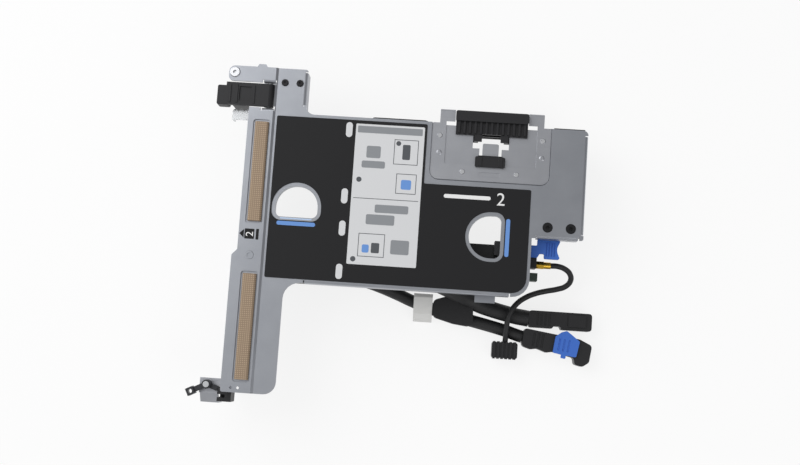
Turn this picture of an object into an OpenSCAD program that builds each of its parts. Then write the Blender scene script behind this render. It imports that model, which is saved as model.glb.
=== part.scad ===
// Riser cage bracket of a one-unit server: a folded sheet cage that carries a riser board, holds the rear
// bracket of one card with a lever latch, and holds the card's far edge with a sliding holder.
// X runs from the rear face to the front, Y from the riser board towards the card, Z up.
// The origin lies at the foot of the rear panel, in the board's middle plane.

/* [Sheet metal] */
// Thickness of the folded sheet
sheet_t = 1; // [0.8:0.1:1.2]
// Inside radius of the bends
bend_r = 0.5; // [0.4:0.1:0.8]
// Height of the plate's top face over the surface that the cage stands on
plate_z = 36; // [35:0.5:40]
// Height of the raised rear strip over the plate
joggle_h = 0.8; // [0.5:0.1:1]

/* [Top plate] */
// Distance from the rear edge to the front edge
plate_len = 168.5; // [166:0.5:176]
// Distance from the board to the edge on the card's side
plate_wide = 69.5; // [68.5:0.5:72]
// Distance from the board to the edge on the cable side
cable_wide = 14.4; // [14:0.2:16]
// Length of the front block, past the label
front_len = 25; // [24:0.5:27]
// Distance from the board to the front block's lower edge
front_low = 15; // [14.5:0.5:17]
// Width of the raised rear strip
strip_w = 12.7; // [12.5:0.1:13.2]
// Width of the latch block
block_w = 28.2; // [27.5:0.1:30]
// Depth of the latch block past the plate's edge
block_deep = 22.5; // [22:0.5:25]
// Width of the rear arm
arm_w = 24; // [22:0.5:28]
// Reach of the rear arm past the board
arm_reach = 69.4; // [68.6:0.2:74]
// Overhang of the arm's rear edge
arm_over = 2.6; // [2:0.2:3]
// Depth of the downward flanges
flange_h = 8; // [6:0.5:9]

/* [Openings] */
// Width of a finger hole
finger_w = 21; // [19:0.5:22]
// Height of a finger hole, from its flat side
finger_h = 15.6; // [15:0.1:16.5]
// Depth of a finger hole's turned-down rim
finger_rim = 2.6; // [2:0.1:3]
// Height of a card window
window_h = 15; // [12:0.5:16]

/* [Gaskets and label] */
// Width of a conductive gasket
gasket_w = 6.8; // [6:0.1:7]
// Height of a gasket
gasket_h = 1.8; // [1.4:0.1:2.2]
// Thickness of the printed label
label_t = 0.25; // [0.2:0.05:0.4]

/* [Upper latch] */
// Width of the latch lever
latch_w = 11.4; // [10.8:0.1:11.6]
// Height of the latch pin over the cage's foot
latch_pin_z = 34.4; // [34.2:0.1:34.6]
// Radius of the latch pin
latch_pin_r = 1; // [0.8:0.1:1.1]

/* [Card holder] */
// Width of the slide's bar
slide_w = 36; // [34:0.5:36.4]
// Travel of the slide
slide_travel = 5; // [4:0.5:5.5]
// Depth of the tray that the holder bracket lies in
tray_d = 1.6; // [1.5:0.1:1.8]

/* [Riser board] */
// Distance from the rear edge to the board
board_x = 20; // [18:0.5:22]
// Height of the board
board_h = 30; // [28:0.5:31]
// Thickness of the board
board_t = 1.6; // [1.4:0.1:2]
// Height of the card slot's middle over the cage's foot
slot_z = 15.8; // [15:0.1:17]
// Length of the card slot connector
slot_len = 89; // [86:0.5:90]
// Reach of the card slot connector out of the board
slot_reach = 11.3; // [10.8:0.1:11.6]

/* [Hidden] */
$fn = 48;
clear = 0.2;              // sliding and turning clearance
fit = 0.05;               // radial clearance of pins and screws
bend_out = bend_r + sheet_t;
strip_z = plate_z + joggle_h;
plate_under = plate_z - sheet_t;
strip_under = strip_z - sheet_t;
joggle_run = 1.2;         // length of the joggle's slope
step_x = plate_len - front_len;
block_y = plate_wide + block_deep;
board_y = board_t / 2;    // the board's faces lie at plus and minus this
board_len = step_x - 2 - board_x;
board_z = plate_z - 33;   // lower edge of the board
side = [1, -1];

// latch notch in the block, open to the rear
notch_y = plate_wide + 1.9;
notch_w = latch_w + 2 * 0.7;
notch_x = strip_w - 0.5;
lip_x = -11.4;            // rear end of the strip beyond the notch
latch_pin_x = notch_x - 2.8;
latch_r = 2.4;            // knuckle of the latch
latch_y = notch_y + 0.7;
rivet_at = [-8.4, block_y - 3.4];

// trays in the raised strip, [low y, high y]
gasket_trays = [[12.8, plate_wide - 3.5], [-arm_reach + 4.6, -9.6]];
tray_x = [2.2, strip_w - 0.8];
gasket_x = (tray_x[0] + tray_x[1]) / 2 + 0.1;
gasket_tray_d = 0.8;

// finger holes, [x, y, turn]: the flat side faces down at no turn
finger_holes = [[27.4, 25.5, 0], [step_x - 22.9, 14.1, 90]];
label_gap = 1.5;          // bare ring round a finger hole
label_rim = 1.5;          // bare metal along the plate's edges

// card holder
holder_x = step_x - 22.5; // middle of the holder
tray_w = 60.6;
tray_low = plate_wide - 29.6;
tray_z = plate_z - tray_d;
holder_z = tray_z + sheet_t;
holder_gap = 1.4;
panel_w = 45;             // recessed panel of the holder bracket
panel_low = tray_low + 9.4;
panel_drop = 0.5;
panel_z = holder_z - panel_drop;
ear_out = plate_wide + 7.1;
ear_w = 7.5;
ear_x = slide_w / 2 + clear;
tongue_w = 8;
stem_w = 16.8;            // middle part of the slide
stem_low = plate_wide - 8.5;
window_low = stem_low - 3.3;
slide_bar = [plate_wide + 1.1, plate_wide + 6.2];
slide_t = 1.2;
fin_low = plate_wide - 5.4;
slot_w = stem_w + 2 * 0.5; // window that the slide's hooks run in

// rear panels, [outer face, low y, high y, window's low y, window's high y]
panels = [[0, -2.2, notch_y - bend_out - 0.4, gasket_trays[0][0] - 0.3, gasket_trays[0][1] - 0.7],
    [-arm_over, -arm_reach + 0.8, -3.6, gasket_trays[1][0] + 1.2, gasket_trays[1][1] - 0.7]];
foot = 6;                 // inward foot of a rear panel
foot_end = 4.4;           // straight end of a panel's lower edge, beside its foot

// front screws and block screws
front_screws = [[step_x + 7.4, front_low + 5.5], [step_x + 18.7, front_low + 5.5]];
block_screws = [[16.9, block_y - 7.2], [24.4, block_y - 7.1]];
holder_rivets = [for (s = side) each [[holder_x + s * 25.4, plate_wide - 6.4], [holder_x + s * 13.3, tray_low + 5.7]]];

// board bracket, sockets and screws
foot_xs = [board_x + 30, step_x - 21.5];
foot_w = 9;
socket_len = 20;
socket_h = 12;
socket_z = [14, 24];      // middle heights of the two sockets
socket_out = 5.4;
board_screws = [for (x = [board_x + 4, board_x + 40, step_x - 35.5]) [x, board_z + board_h - 4]];
slot_x = step_x - 8.5 - slot_len;
slot_h = 7.6;
side_plug = [step_x - 17.5, step_x + 0.5];

// cables: route points on the middle line, which stretch with the label's length
function along(route) = [for (p = route) [p[0] * step_x / 143.5, p[1], p[2]]];
lower_route = along([[46, -8.6, 14], [51, -8.6, 14], [57, -9, 12.2], [64, -10.4, 9.2], [71, -12.4, 6.2], [79, -15.2, 4.2],
    [87, -18.3, 3.5], [95, -20.9, 3.4], [103, -23, 3.4], [111, -24.8, 3.4], [119, -26.5, 3.4], [127, -28.2, 3.4],
    [135, -30.1, 3.4], [140, -31.6, 3.5], [144, -32.7, 3.7]]);
lower_d = 6.4;
upper_route = along([[90, -8.4, 24], [93.4, -8.4, 24], [97.8, -9.2, 21.8], [102, -10.6, 18.4], [106, -12, 14.9],
    [110, -13.6, 11.4], [114, -15.2, 8.4], [118, -16.8, 6.2], [122, -18.2, 5], [126, -19.3, 4.5], [130, -20.3, 4.4],
    [135, -21.4, 4.4], [140, -22.4, 4.4], [144, -22.9, 4.4], [146.4, -23.2, 4.4]]);
upper_d = 8.4;
side_route = along([[155.2, 3.6, 15.8], [158.6, 3.6, 15.8], [162.6, 2.6, 14.6], [165.6, 0.2, 12.6], [166.2, -3, 10.4],
    [164, -5.8, 8.8], [160, -7.4, 7.8], [155, -8.6, 7.4], [149.5, -10.2, 8], [144.4, -12.6, 9.2], [140, -16, 10.8],
    [137, -20.4, 11.4], [135.6, -25, 11], [135.2, -29.4, 9.8], [135.2, -33.2, 7.8], [135.2, -36.6, 5.4]]);
side_d = 2.8;
socket_x = [lower_route[0][0] - socket_len, upper_route[0][0] - socket_len];

// cable ends
upper_plug = xy(upper_route[len(upper_route) - 1]);
plug_w = 8.6;
plug_h = 8;
upper_plug_len = 32;
lower_plug = xy(lower_route[len(lower_route) - 1]);
lower_turn = -8;
lower_plug_len = 35;
ribbed = xy(side_route[len(side_route) - 1]) - [6.6, 1.1];

// ---- outlines ----

function unit(v) = v / norm(v);
function xy(p) = [p[0], p[1]];
function wrap(a) = a > 180 ? a - 360 : a < -180 ? a + 360 : a;

// Arc that rounds corner q between p and s
function corner_arc(p, q, s, r, steps) =
    let (u = unit(p - q), v = unit(s - q), half = acos(u * v) / 2, c = q + unit(u + v) * r / sin(half),
         from = q + u * r / tan(half) - c, to = q + v * r / tan(half) - c,
         a = atan2(from[1], from[0]), turn = wrap(atan2(to[1], to[0]) - a))
    [for (i = [0:steps]) c + r * [cos(a + turn * i / steps), sin(a + turn * i / steps)]];

// Outline through corners [x, y, radius]
function rounded(pts, steps = 6) =
    let (n = len(pts))
    [for (i = [0:n - 1]) each pts[i][2] == 0 ? [xy(pts[i])] :
        corner_arc(xy(pts[(i + n - 1) % n]), xy(pts[i]), xy(pts[(i + 1) % n]), pts[i][2], steps)];

function rect_corners(lo, hi, r) = [[lo[0], lo[1], r], [hi[0], lo[1], r], [hi[0], hi[1], r], [lo[0], hi[1], r]];

module rounded_slab(lo, hi, r, z, h) {
    translate([0, 0, z]) linear_extrude(h) polygon(rounded(rect_corners(lo, hi, r), 4));
}

module block(lo, hi) {
    translate(lo) cube(hi - lo);
}

// Cross-section of a bend: a flat run of lap, then the bend, then a leg down to h
function bend_profile(h, lap) = concat([[-lap, 0]],
    [for (a = [90:-15:0]) [bend_out * cos(a), bend_out * sin(a) - bend_out]],
    [[bend_out, -h], [bend_r, -h]],
    [for (a = [0:15:90]) [bend_r * cos(a), bend_r * sin(a) - bend_out]],
    [[-lap, -sheet_t]]);

// Flange along X, turned down at +Y, its outer face on y = 0 and its top face on z = 0
module flange(l, h, lap = 0.5) {
    translate([0, -bend_out, 0]) rotate([90, 0, 90]) linear_extrude(l) polygon(bend_profile(h, lap));
}

// Flange with its start corner at [x, y], facing the given way
module edge_flange(at, way, l, h, z = plate_z) {
    translate([at[0], at[1], z]) rotate(way) flange(l, h);
}

// Room for a flange: clears the flat sheet back to where the bend starts, with a relief at each end
module flange_room(at, way, l, z = plate_z) {
    relief = 0.6;
    translate([at[0], at[1], z - 3]) rotate(way) translate([-relief, -bend_out, 0]) cube([l + 2 * relief, bend_out + 1, 6]);
}

module screw_hole(at, r) {
    translate([at[0], at[1], plate_z - 6]) cylinder(h = 12, r = r);
}

// ---- top plate ----

// [start corner, way, length, depth, top height]
plate_flanges = [
    [[step_x - 9.5, -cable_wide], 180, step_x - arm_w - 19.5, flange_h, plate_z],
    [[plate_len - 2.5, front_low], 180, front_len - 5, flange_h, plate_z],
    [[plate_len, plate_wide - 3], -90, plate_wide - front_low - 6, flange_h + 2, plate_z],
    [[block_w, block_y - 1.6], -90, block_deep - 6.1, flange_h + 1, plate_z]];
lug_len = 5.8;
lug_flanges = [[[notch_x - lug_len, notch_y], 0, lug_len, flange_h - 1, strip_z],
    [[notch_x, notch_y + notch_w], 180, lug_len, flange_h - 1, strip_z]];

module plate_outline() {
    polygon(rounded([[lip_x, block_y, 3], [2.6, block_y, 0], [3.4, block_y + 1.4, 0], [6.9, block_y + 1.4, 0],
        [7.7, block_y, 0], [block_w, block_y, 1.2], [block_w, plate_wide, 4.5], [plate_len, plate_wide, 2.5],
        [plate_len, front_low, 1], [step_x, front_low, 0.5], [step_x, -cable_wide, 8.5], [arm_w, -cable_wide, 8],
        [arm_w, -arm_reach, 6], [-arm_over, -arm_reach, 1], [-arm_over, -2.6, 0.8], [0, 0.2, 0.8],
        [0, notch_y, 0.6], [notch_x, notch_y, 0.4], [notch_x, notch_y + notch_w, 0.4],
        [lip_x, notch_y + notch_w, 2.4]]));
}

// The sheet's section along X: raised at the rear, with a sloping joggle
module stepped_sheet() {
    far = plate_len + 10;
    top = [[-30, strip_z], [strip_w - joggle_run / 2, strip_z], [strip_w + joggle_run / 2, plate_z], [far, plate_z]];
    translate([0, block_y + 20, 0]) rotate([90, 0, 0]) linear_extrude(block_y + arm_reach + 40)
        polygon(concat(top, [for (i = [3:-1:0]) top[i] - [0, sheet_t]]));
}

module finger_outline(grow) {
    w = finger_w / 2 + grow;
    h = finger_h / 2 + grow;
    polygon(rounded([[-w, -h, 3 + grow], [w, -h, 3 + grow], [w, h, w - 0.01], [-w, h, w - 0.01]], 12));
}

module at_fingers() {
    for (f = finger_holes) translate([f[0], f[1], 0]) rotate(f[2]) children();
}

module strip_tray(span) {
    top = strip_z;
    wall = 0.6;
    difference() {
        rounded_slab([tray_x[0], span[0]], [tray_x[1], span[1]], 2, top - gasket_tray_d - sheet_t, gasket_tray_d + sheet_t);
        rounded_slab([tray_x[0] + wall, span[0] + wall], [tray_x[1] - wall, span[1] - wall], 1.4,
            top - gasket_tray_d, gasket_tray_d + 1);
    }
}

// Tray for the holder bracket, open at the plate's edge
module holder_tray() {
    wall = 0.8;
    half = tray_w / 2;
    difference() {
        rounded_slab([holder_x - half, tray_low], [holder_x + half, plate_wide + 8], 5.4, tray_z - sheet_t, tray_d + sheet_t);
        rounded_slab([holder_x - half + wall, tray_low + wall], [holder_x + half - wall, plate_wide + 9], 4.6, tray_z, tray_d + 1);
        block([holder_x - half - 1, plate_wide, tray_z - 3], [holder_x + half + 1, plate_wide + 10, plate_z + 1]);
        block([holder_x - panel_w / 2 - 0.8, panel_low - 0.8, tray_z - 3],
            [holder_x + panel_w / 2 + 0.8, plate_wide + 1, plate_z]);
    }
}

// Turned edge that follows the inner corner beside the latch block
module block_corner_wall() {
    r = 4.5;
    translate([block_w + r, plate_wide + r, plate_z - flange_h - 1]) intersection() {
        difference() {
            cylinder(h = flange_h + 1, r = r + sheet_t);
            translate([0, 0, -1]) cylinder(h = flange_h + 4, r = r);
        }
        translate([-2 * r, -2 * r, 0]) cube([2 * r, 2 * r, flange_h + 1]);
    }
}

module cable_tab() {
    w = 10;
    translate([step_x - 25.8, -cable_wide - 3.4, plate_z - flange_h]) cube([w, 4, sheet_t]);
    translate([step_x - 25.8, -cable_wide, plate_z - flange_h]) cube([w, sheet_t, 2]);
}

module top_plate() {
    color("silver") difference() {
        union() {
            difference() {
                intersection() {
                    linear_extrude(strip_z + 5) plate_outline();
                    stepped_sheet();
                }
                for (s = gasket_trays)
                    rounded_slab([tray_x[0], s[0]], [tray_x[1], s[1]], 2, strip_z - 3, 5);
                rounded_slab([holder_x - tray_w / 2, tray_low], [holder_x + tray_w / 2, plate_wide + 8], 5.4, plate_z - 3, 6);
                for (f = concat(plate_flanges, lug_flanges)) flange_room(f[0], f[1], f[2], f[4]);
            }
            for (s = gasket_trays) strip_tray(s);
            for (f = concat(plate_flanges, lug_flanges)) edge_flange(f[0], f[1], f[2], f[3], f[4]);
            holder_tray();
            block_corner_wall();
            cable_tab();
            // ring pressed up between the gaskets
            translate([6.2, -2.3, strip_under]) difference() {
                cylinder(h = sheet_t + 0.35, r1 = 2.5, r2 = 2);
                translate([0, 0, sheet_t]) cylinder(h = 1, r = 1.2);
            }
            at_fingers() translate([0, 0, plate_z - finger_rim - sheet_t])
                linear_extrude(finger_rim + sheet_t) finger_outline(sheet_t);
        }
        at_fingers() linear_extrude(plate_z + 5) finger_outline(0);
        for (s = front_screws) {
            screw_hole(s, 1.6);
            translate([s[0], s[1], plate_z - sheet_t]) cylinder(h = sheet_t + 0.001, r1 = 1.6, r2 = 2.5);
        }
        for (s = block_screws) screw_hole(s, 1.2);
        for (s = holder_rivets) screw_hole(s, 0.9);
        screw_hole(rivet_at, 1.5);
        for (x = [2.5, 5.8]) screw_hole([x, -arm_reach + 2.3], 0.7);
        translate([latch_pin_x, notch_y - 3, latch_pin_z]) rotate([-90, 0, 0])
            cylinder(h = notch_w + 6, r = latch_pin_r + fit);
    }
}

// ---- rear panels ----

// [low y, length] of the tabs that a panel holds the strip with
function tabs(k) = k == 0 ? [[panels[0][1] + 0.8, 7.5]] : [[panels[1][1] + 0.3, 3.4], [panels[1][2] - 4.3, 3.4]];

module panel(k) {
    p = panels[k];
    x = p[0];
    zc = slot_z + 1.2;
    color("gainsboro") difference() {
        union() {
            block([x, p[1], bend_out], [x + sheet_t, p[2], strip_under]);
            // straight ends of the lower edge, and the foot between them
            for (y = [p[1], p[2] - foot_end]) block([x, y, 0], [x + sheet_t, y + foot_end, bend_out + 1]);
            mirror([0, 0, 1]) translate([x, p[1] + foot_end + 0.8, 0]) rotate(90)
                flange(p[2] - p[1] - 2 * foot_end - 1.6, 4, foot - bend_out);
            for (t = tabs(k)) translate([x, t[0], strip_under]) rotate(90) flange(t[1], 6, 5.5);
        }
        // the wall's top corner is bent over at the tabs
        for (t = tabs(k)) difference() {
            block([x - 1, t[0] - 0.4, strip_under - bend_out], [x + 4, t[0] + t[1] + 0.4, strip_under + 1]);
            translate([x, t[0], strip_under]) rotate(90) flange(t[1], 6, 5.5);
        }
        // card window
        translate([x - 1, 0, 0]) rotate([90, 0, 90]) linear_extrude(4)
            polygon(rounded(rect_corners([p[3], zc - window_h / 2], [p[4], zc + window_h / 2], 1.5), 4));
        // lightening holes under the window
        for (i = [-2:2]) translate([x - 1, (p[3] + p[4]) / 2 + i * 11, 5]) rotate([0, 90, 0]) cylinder(h = 4, r = 1.3, $fn = 24);
    }
}

module rear_panel_upper() { panel(0); }
module rear_panel_lower() { panel(1); }

// ---- gaskets, label, insulating film ----

module gasket(span) {
    margin = 1.8;
    h = gasket_h;
    translate([gasket_x, span[0] + margin, strip_z - gasket_tray_d]) rotate([90, 0, 0]) mirror([0, 0, 1])
        linear_extrude(span[1] - span[0] - 2 * margin)
        polygon(rounded([[-gasket_w / 2, 0, 0], [gasket_w / 2, 0, 0], [gasket_w / 2, h, h * 0.6], [-gasket_w / 2, h, h * 0.6]], 5));
}

module gasket_upper() { color("tan") gasket(gasket_trays[0]); }
module gasket_lower() { color("tan") gasket(gasket_trays[1]); }

module panel_label() {
    low = -cable_wide + label_rim + 0.3;
    right = step_x - label_rim;
    top2 = tray_low - 1.5;
    color("#1e1e20") translate([0, 0, plate_z]) linear_extrude(label_t) difference() {
        polygon(rounded([[strip_w + 1.6, low, 0.8], [right, low, 7.2], [right, top2, 0.8],
            [holder_x - tray_w / 2 - 1.4, top2, 0.8], [holder_x - tray_w / 2 - 1.4, plate_wide - label_rim, 0.8],
            [strip_w + 1.6, plate_wide - label_rim, 0.8]]));
        at_fingers() finger_outline(label_gap + 0.2);
    }
}

module insulating_film() {
    color("#151516") rounded_slab([holder_x - 60, front_low + 1], [holder_x - tray_w / 2 - 0.7, plate_wide + 0.7], 2, plate_under - 0.35, 0.35);
}

// ---- rivets and screws ----

module rivet(at, top, r_head, r_hole, grip, h = 0.5) {
    translate([at[0], at[1], top]) {
        cylinder(h = h, r1 = r_head, r2 = r_head * 0.8);
        translate([0, 0, -grip]) cylinder(h = grip, r = r_hole - fit);
        translate([0, 0, -grip - 0.4]) cylinder(h = 0.4, r1 = r_hole, r2 = r_hole + 0.4);
    }
}

module corner_rivet() {
    color("gainsboro") difference() {
        union() {
            translate([rivet_at[0], rivet_at[1], strip_z]) cylinder(h = 0.7, r1 = 2.7, r2 = 2.3);
            translate([rivet_at[0], rivet_at[1], strip_under - 1]) cylinder(h = sheet_t + 1, r = 1.5 - fit);
            translate([rivet_at[0], rivet_at[1], strip_under - 1]) cylinder(h = 1, r = 2.1);
        }
        translate([rivet_at[0], rivet_at[1], strip_z - 0.6]) cylinder(h = 2, r = 0.95);
    }
}

module holder_rivets() {
    color("gainsboro") for (r = holder_rivets) {
        translate([r[0], r[1], holder_z]) cylinder(h = 0.45, r1 = 1.4, r2 = 1);
        translate([r[0], r[1], tray_z - sheet_t]) cylinder(h = 2 * sheet_t, r = 0.9 - fit);
        translate([r[0], r[1], tray_z - sheet_t - 0.4]) cylinder(h = 0.4, r1 = 1, r2 = 1.3);
    }
}

// Six-lobed drive recess
module lobed(r) {
    for (a = [0:60:179]) rotate(a) square([2 * r, r * 0.55], center = true);
}

module block_screws() {
    color("#202022") for (s = block_screws) translate([s[0], s[1], plate_z]) difference() {
        union() {
            cylinder(h = 1, r1 = 1.85, r2 = 1.5);
            translate([0, 0, -5]) cylinder(h = 5, r = 1.2 - fit);
        }
        translate([0, 0, 0.4]) linear_extrude(1) lobed(0.75);
    }
}

module latch_base() {
    color("#1b1b1d") difference() {
        block([strip_w + 0.7, block_y - 15, plate_under - 7], [block_w - 1.8, block_y - 2.2, plate_under]);
        for (s = block_screws) translate([s[0], s[1], plate_under - 5]) cylinder(h = 7, r = 1.2);
        block([strip_w + 2.3, block_y - 16, plate_under - 8], [block_w - 4, block_y - 10.6, plate_under - 2]);
    }
}

module front_screws() {
    color("#1c1c1e") for (s = front_screws) translate([s[0], s[1], plate_z]) difference() {
        union() {
            translate([0, 0, -sheet_t]) cylinder(h = sheet_t, r1 = 1.6 - fit, r2 = 2.45);
            cylinder(h = 0.15, r = 2.45);
            translate([0, 0, -6]) cylinder(h = 5, r = 1.6 - fit);
        }
        translate([0, 0, -0.8]) linear_extrude(2) lobed(0.95);
    }
}

// ---- upper latch ----

latch_lo = latch_y;
latch_hi = latch_y + latch_w;
latch_end = -16.4;        // rear end of the lever

module upper_latch() {
    z0 = latch_pin_z + 0.3;
    t = 2.2;
    color("#1b1b1d") difference() {
        union() {
            block([latch_end + 4.3, latch_lo, z0], [latch_pin_x, latch_hi, z0 + t]);
            translate([latch_pin_x, latch_lo, latch_pin_z]) rotate([-90, 0, 0]) cylinder(h = latch_w, r = latch_r);
            // thumb block at the rear end
            translate([0, 0, z0 - 4]) linear_extrude(t + 4)
                polygon(rounded(rect_corners([latch_end, latch_lo - 0.3], [latch_end + 6, latch_hi - 1.8], 0.8), 4));
            // hooked leg that presses on the card's bracket
            block([-10, latch_lo + 1.4, 15], [-8.4, latch_hi - 1.4, z0 + 0.5]);
            for (y = [latch_lo + 1.4, latch_hi - 3]) block([-10, y, 17], [-3, y + 1.6, z0 + 0.5]);
            block([-10, latch_lo + 1.4, 14], [-4.6, latch_hi - 1.4, 15.8]);
            // ribs on the top
            for (x = [-10.6, -7.2, 1.4]) block([x, latch_lo + 1.2, z0 + t], [x + 1, latch_hi - 1.2, z0 + t + 0.4]);
        }
        translate([latch_pin_x, latch_lo - 1, latch_pin_z]) rotate([-90, 0, 0]) cylinder(h = latch_w + 2, r = latch_pin_r + fit);
        // shallow pocket between the ribs
        block([-5.4, latch_lo + 2, z0 + t - 0.6], [0.6, latch_hi - 2, z0 + t + 1]);
    }
}

module upper_latch_pin() {
    color("silver") translate([latch_pin_x, notch_y - 1.6, latch_pin_z]) rotate([-90, 0, 0]) {
        cylinder(h = notch_w + 3.2, r = latch_pin_r);
        cylinder(h = 0.5, r = latch_pin_r + 0.25);
    }
}

module tab_ledge() {
    y0 = panels[0][2] - 3.6;
    color("gainsboro") {
        block([-0.8, y0, 10], [0, panels[0][2], 30]);
        block([-9.3, y0, 29.2], [0, y0 + 4.4, 30]);
        for (i = [0:2]) translate([-1.9 - i * 3, y0 + 4.2, 29.2]) cylinder(h = 0.8, r = 1.3);
        block([-9.3, y0, 24], [-8.5, y0 + 4.4, 30]);
    }
}

// ---- lower-left group: ledge, small lever, tab block ----

ledge_y = -arm_reach - 1.6;
ledge_x = -arm_over - 12.4;
lever_pin = [ledge_x + 4, -arm_reach + 2.8];

module lower_ledge() {
    low = -arm_reach + 2.2;
    high = -arm_reach + 5.9;
    color("#9a9ca0") difference() {
        union() {
            block([ledge_x, ledge_y, 25], [-arm_over - 2.8, high, 26]);
            block([-arm_over - 3.4, low, 25], [-arm_over, high, 26]);
            // the ledge is folded down against the panel's outer face
            block([-arm_over - 0.9, low, 12], [-arm_over, high, 26]);
            // sloping front
            translate([ledge_x + 0.4, ledge_y, 0]) rotate([90, 0, 90]) linear_extrude(9.2)
                polygon([[0, 25], [0, 26], [-4.6, 22.6], [-4.6, 15], [-3.7, 15], [-3.7, 22]]);
        }
        for (x = [1.8, 5.4]) block([ledge_x + x, ledge_y - 6, 16.5], [ledge_x + x + 2, ledge_y - 1, 20.5]);
        translate([lever_pin[0], lever_pin[1], 20]) cylinder(h = 10, r = 0.8 + fit);
    }
}

module lower_latch() {
    c = lever_pin;
    z = 26.15;
    color("#3a3b3e") difference() {
        union() {
            translate([c[0], c[1], z]) cylinder(h = 4, r = 2.2);
            translate([c[0], c[1], z]) rotate(207) translate([0, -1.3, 0]) block([0, 0, 0.4], [7, 2.6, 3.4]);
            translate([c[0], c[1], z]) rotate(207) translate([6.6, -1.9, 0]) block([0, 0, 0], [3.8, 3.8, 4.4]);
            translate([c[0], c[1], z]) rotate(-20) translate([0, -1.2, 0]) block([0, 0, 0.2], [5.6, 2.4, 2.2]);
        }
        translate([c[0], c[1], z - 1]) cylinder(h = 8, r = 0.8 + fit);
        translate([c[0], c[1], z]) rotate(207) translate([8.6, 0, -1]) cylinder(h = 8, r = 1.1);
    }
}

module lower_latch_pin() {
    color("silver") translate([lever_pin[0], lever_pin[1], 0]) {
        translate([0, 0, 24.2]) cylinder(h = 6.2, r = 0.8);
        translate([0, 0, 30.35]) cylinder(h = 0.5, r = 1.5);
        translate([0, 0, 24.2]) cylinder(h = 0.8, r = 1.4);
    }
}

module tab_block() {
    color("#1b1b1d") difference() {
        block([-arm_over - 2.6, -arm_reach - 5.1, 20], [-arm_over + 4.3, -arm_reach + 2, 30]);
        block([-arm_over, panels[1][1], 19], [-arm_over + sheet_t, -arm_reach + 3, 31]);
        block([-arm_over - 3.4, -arm_reach - 3.2, 22], [-arm_over + 1.2, -arm_reach - 1.6, 31]);
        translate([-arm_over + 1.6, -arm_reach - 6, 25]) rotate([-90, 0, 0]) cylinder(h = 3, r = 1.2);
    }
}

// ---- card holder ----

module holder_bracket() {
    half = tray_w / 2 - holder_gap + 0.4;
    ph = panel_w / 2;
    color("#a3a5a9") difference() {
        union() {
            difference() {
                translate([0, 0, tray_z]) linear_extrude(sheet_t) union() {
                    polygon(rounded([[holder_x - half, tray_low + holder_gap, 4], [holder_x + half, tray_low + holder_gap, 4],
                        [holder_x + half, plate_wide, 0.8], [holder_x - half, plate_wide, 0.8]]));
                    for (s = side) translate([holder_x + s * (ear_x + ear_w / 2), plate_wide - 0.01])
                        polygon(rounded([[-ear_w / 2, -3, 0], [ear_w / 2, -3, 0], [ear_w / 2, ear_out - plate_wide - bend_out, 0],
                            [-ear_w / 2, ear_out - plate_wide - bend_out, 0]]));
                }
                block([holder_x - ph, panel_low, tray_z - 2], [holder_x + ph, plate_wide + 1, tray_z + 4]);
            }
            for (s = side) translate([holder_x + s * (ear_x + ear_w / 2) - ear_w / 2, ear_out, holder_z]) flange(ear_w, 8, 2);
            // recessed panel
            block([holder_x - ph - 0.5, panel_low - 0.5, panel_z - sheet_t], [holder_x + ph + 0.5, plate_wide - 1, panel_z]);
            // wings of the ears
            for (s = side) translate([holder_x + s * (tray_w / 2 - 5), tray_low + 14.7, holder_z]) cylinder(h = 0.3, r1 = 1.3, r2 = 0.8, $fn = 24);
        }
        // window for the slide and its stem
        translate([0, 0, tray_z - 3]) linear_extrude(8) {
            polygon([[holder_x - slot_w / 2, window_low], [holder_x + slot_w / 2, window_low],
                [holder_x + slot_w / 2, plate_wide + 1], [holder_x - slot_w / 2, plate_wide + 1]]);
            difference() {
                translate([holder_x - 5.5, window_low - 3.4]) square([11, 4]);
                translate([holder_x - 4, window_low - 6]) square([tongue_w, 8]);
            }
        }
        for (r = holder_rivets) translate([r[0], r[1], tray_z - 2]) cylinder(h = 5, r = 0.9);
        translate([holder_x, tray_low + 4.8, holder_z - 0.3]) linear_extrude(2)
            polygon(rounded(rect_corners([-5.3, -1.1], [5.3, 1.1], 1.09), 5));
    }
    color("#b4b6ba") translate([0, 0, panel_z - sheet_t]) linear_extrude(sheet_t)
        polygon(rounded(rect_corners([holder_x - tongue_w / 2, window_low - 3.6], [holder_x + tongue_w / 2, window_low + 2.6], 0.8), 4));
}

module holder_stop() {
    color("#1b1b1d") {
        difference() {
            rounded_slab([holder_x - 7.4, window_low - 9.4], [holder_x + 7.4, window_low - 4.2], 0.8, panel_z, 2.1);
            block([holder_x - 8, window_low - 10, panel_z - 1], [holder_x + 8, panel_low + 0.2, holder_z + 0.05]);
        }
        block([holder_x - 6, window_low - 4.4, panel_z], [holder_x + 6, window_low - 3.7, panel_z + 1.6]);
        for (s = side) block([holder_x + s * 5 - 1, window_low - 9, panel_z + 2], [holder_x + s * 5 + 1, window_low - 4.6, panel_z + 2.4]);
    }
}

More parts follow.
